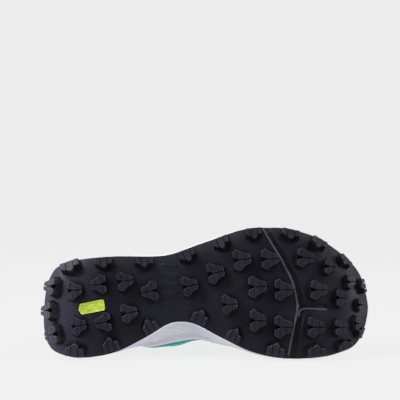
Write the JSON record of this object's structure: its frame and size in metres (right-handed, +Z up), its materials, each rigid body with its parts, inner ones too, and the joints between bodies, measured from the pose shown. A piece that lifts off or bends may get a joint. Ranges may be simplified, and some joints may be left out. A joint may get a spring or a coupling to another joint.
{
  "type": "trail running shoe",
  "caption": "Low trail running shoe for the right foot with a deeply lugged rubber sole, lying on its medial side.",
  "frame": {"origin": "on the floor under the middle of the bounding box of the shoe as it lies on its medial side", "axes": "+X from heel to toe, -Y out of the tread, +Z up from the floor towards the lateral side"},
  "size_m": [0.2828, 0.1254, 0.1124],
  "materials": {
    "tread_rubber": "dark violet-black rubber, satin",
    "badge": "lime insert, satin",
    "foam": "moulded white foam, matt",
    "mesh": "woven teal mesh",
    "film": "thin welded overlay film, satin",
    "padding": "soft knitted lining over foam",
    "lace": "flat woven lace"
  },
  "bodies": {
    "root": {"outsole": "tread_rubber", "sole_badge": "badge", "midsole": "foam", "upper": "mesh", "toe_cap": "film", "heel_counter": "film", "eyestay": "film", "tongue": "padding", "insole": "padding", "heel_loop": "film", "lace": "lace"}
  },
  "joints": []
}
